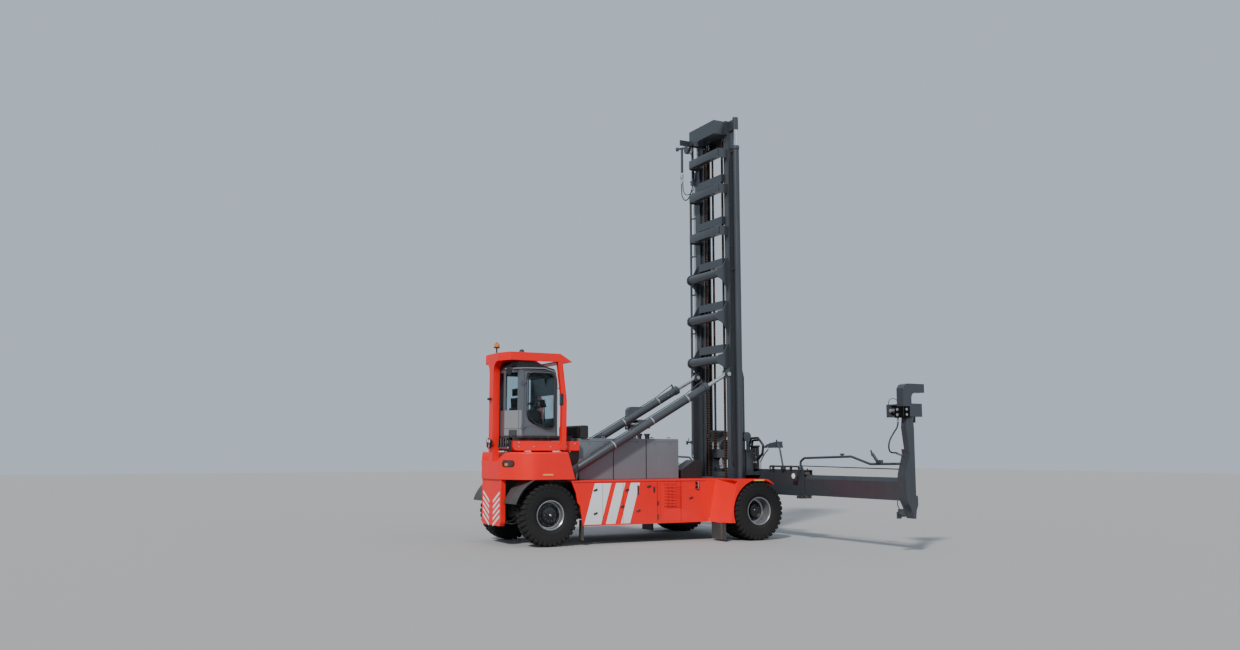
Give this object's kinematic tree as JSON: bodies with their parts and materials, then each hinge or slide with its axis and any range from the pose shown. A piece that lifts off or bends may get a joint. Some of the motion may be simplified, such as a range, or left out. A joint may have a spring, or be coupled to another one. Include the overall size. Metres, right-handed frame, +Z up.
{
  "type": "empty container handler",
  "caption": "Four-wheel-base electric yard truck with a tall two-stage mast and a telescopic side-lift spreader for empty shipping containers",
  "frame": {"origin": "on the ground under the middle of the bounding box", "axes": "+X is the travel direction toward the mast, +Y is the machine's left along the spreader, +Z is up"},
  "size_m": [7.45, 12.26, 10.6998],
  "materials": {
    "red_paint": "satin red paint",
    "mast_paint": "dark grey paint",
    "frame_paint": "charcoal paint",
    "box_paint": "mid grey paint",
    "cab_paint": "metallic grey paint",
    "hub_paint": "black paint",
    "rim_paint": "silver paint",
    "tyre": "matt black tyre",
    "flap_rubber": "black rubber",
    "rod_chrome": "polished chrome",
    "chain_steel": "oiled steel",
    "glass": "tinted glass",
    "black_plastic": "black plastic",
    "lamp_lens": "amber lens",
    "seat_fabric": "dark fabric"
  },
  "bodies": {
    "chassis": {"chassis_frame": "frame_paint", "side_panels": "red_paint", "deck": "red_paint", "battery_boxes": "box_paint", "equipment_boxes": "frame_paint", "drive_motor": "frame_paint", "hood": "red_paint", "counterweight": "red_paint", "rear_mudguards": "frame_paint", "front_fenders": "red_paint", "mudflaps": "flap_rubber", "cab_platform": "red_paint", "guard_roof": "red_paint", "guard_posts": "red_paint", "cab_floor": "frame_paint", "cab_rear_wall": "cab_paint", "cab_left_wall": "cab_paint", "cab_right_frame": "cab_paint", "cab_front_frame": "cab_paint", "cab_roof": "black_plastic", "cab_glass": "glass", "seat_base": "black_plastic", "seat_cushions": "seat_fabric", "steering_console": "black_plastic", "drive_axle": "frame_paint", "steer_axle": "frame_paint", "charger_box": "black_plastic", "lamps": "lamp_lens", "valve_cover": "black_plastic"},
    "door": {"cab_door": "cab_paint", "door_glass": "glass"},
    "mast": {"outer_mast": "mast_paint", "lift_barrels": "mast_paint", "outer_chains": "chain_steel"},
    "lifting_mast": {"inner_mast": "mast_paint", "mast_header": "mast_paint", "lift_rods": "rod_chrome", "inner_chains": "chain_steel"},
    "carriage": {"carriage": "mast_paint"},
    "spreader": {"spreader_housing": "mast_paint"},
    "steer_knuckle_right": {"knuckle_right": "frame_paint"},
    "rear_wheel_right": {"rear_rim_right": "hub_paint", "rear_tyre_right": "tyre"},
    "front_wheel_right": {"front_rim_right": "rim_paint", "front_tyres_right": "tyre"},
    "tilt_tube_right": {"tilt_barrel_right": "mast_paint"},
    "tilt_piston_right": {"tilt_rod_right": "rod_chrome"},
    "spreader_arm_right": {"telescopic_beam_right": "mast_paint", "end_arm_right": "mast_paint", "lock_head_right": "mast_paint"},
    "steer_knuckle_left": {"knuckle_left": "frame_paint"},
    "rear_wheel_left": {"rear_rim_left": "hub_paint", "rear_tyre_left": "tyre"},
    "front_wheel_left": {"front_rim_left": "rim_paint", "front_tyres_left": "tyre"},
    "tilt_tube_left": {"tilt_barrel_left": "mast_paint"},
    "tilt_piston_left": {"tilt_rod_left": "rod_chrome"},
    "spreader_arm_left": {"telescopic_beam_left": "mast_paint", "end_arm_left": "mast_paint", "lock_head_left": "mast_paint"}
  },
  "joints": [
    {"name": "mast_tilt", "type": "hinge", "parent": "chassis", "child": "mast", "pos_m": [2.36, 0, 0.687], "axis": [0, -1, 0], "range_deg": [-3, 5]},
    {"name": "inner_mast_lift", "type": "slide", "parent": "mast", "child": "lifting_mast", "axis": [0, 0, 1], "range_m": [-0.15, 7]},
    {"name": "carriage_lift", "type": "slide", "parent": "lifting_mast", "child": "carriage", "axis": [0, 0, 1], "range_m": [-0.15, 7]},
    {"name": "side_shift", "type": "slide", "parent": "carriage", "child": "spreader", "axis": [0, 1, 0], "range_m": [-0.6, 0.6]},
    {"name": "arm_retract_right", "type": "slide", "parent": "spreader", "child": "spreader_arm_right", "axis": [0, 1, 0], "range_m": [0, 3.05]},
    {"name": "arm_retract_left", "type": "slide", "parent": "spreader", "child": "spreader_arm_left", "axis": [0, -1, 0], "range_m": [0, 3.05]},
    {"name": "cab_door_swing", "type": "hinge", "parent": "chassis", "child": "door", "pos_m": [-3.137, -0.722, 3.15], "axis": [0, 0, -1], "range_deg": [0, 95]},
    {"name": "tilt_cylinder_pivot_right", "type": "hinge", "parent": "chassis", "child": "tilt_tube_right", "pos_m": [-1.96, -0.72, 1.6], "axis": [0, -1, 0], "range_deg": [-1.02, 1.67]},
    {"name": "tilt_rod_stroke_right", "type": "slide", "parent": "tilt_tube_right", "child": "tilt_piston_right", "axis": [0.8729, 0, 0.4879], "range_m": [-0.258, 0.155]},
    {"name": "steer_right", "type": "hinge", "parent": "chassis", "child": "steer_knuckle_right", "pos_m": [-2.705, -0.86, 0.687], "axis": [0, 0, 1], "range_deg": [-65, 65]},
    {"name": "rear_wheel_spin_right", "type": "hinge", "parent": "steer_knuckle_right", "child": "rear_wheel_right", "pos_m": [-2.705, -1.147, 0.687], "axis": [0, 1, 0], "continuous": true},
    {"name": "front_wheel_spin_right", "type": "hinge", "parent": "chassis", "child": "front_wheel_right", "pos_m": [2.36, -1.6575, 0.687], "axis": [0, 1, 0], "continuous": true},
    {"name": "tilt_cylinder_pivot_left", "type": "hinge", "parent": "chassis", "child": "tilt_tube_left", "pos_m": [-1.96, 0.72, 1.6], "axis": [0, -1, 0], "range_deg": [-1.02, 1.67]},
    {"name": "tilt_rod_stroke_left", "type": "slide", "parent": "tilt_tube_left", "child": "tilt_piston_left", "axis": [0.8729, 0, 0.4879], "range_m": [-0.258, 0.155]},
    {"name": "steer_left", "type": "hinge", "parent": "chassis", "child": "steer_knuckle_left", "pos_m": [-2.705, 0.86, 0.687], "axis": [0, 0, 1], "range_deg": [-65, 65]},
    {"name": "rear_wheel_spin_left", "type": "hinge", "parent": "steer_knuckle_left", "child": "rear_wheel_left", "pos_m": [-2.705, 1.147, 0.687], "axis": [0, 1, 0], "continuous": true},
    {"name": "front_wheel_spin_left", "type": "hinge", "parent": "chassis", "child": "front_wheel_left", "pos_m": [2.36, 1.6575, 0.687], "axis": [0, 1, 0], "continuous": true}
  ],
  "couplings": [
    {"joint": "carriage_lift", "follows": "inner_mast_lift", "ratio": 1},
    {"joint": "arm_retract_left", "follows": "arm_retract_right", "ratio": 1},
    {"joint": "tilt_cylinder_pivot_right", "follows": "mast_tilt", "ratio": 0.32458},
    {"joint": "tilt_rod_stroke_right", "follows": "mast_tilt", "m_per_rad": -2.9296},
    {"joint": "tilt_cylinder_pivot_left", "follows": "mast_tilt", "ratio": 0.32458},
    {"joint": "tilt_rod_stroke_left", "follows": "mast_tilt", "m_per_rad": -2.9296},
    {"joint": "steer_left", "follows": "steer_right", "ratio": 1}
  ]
}
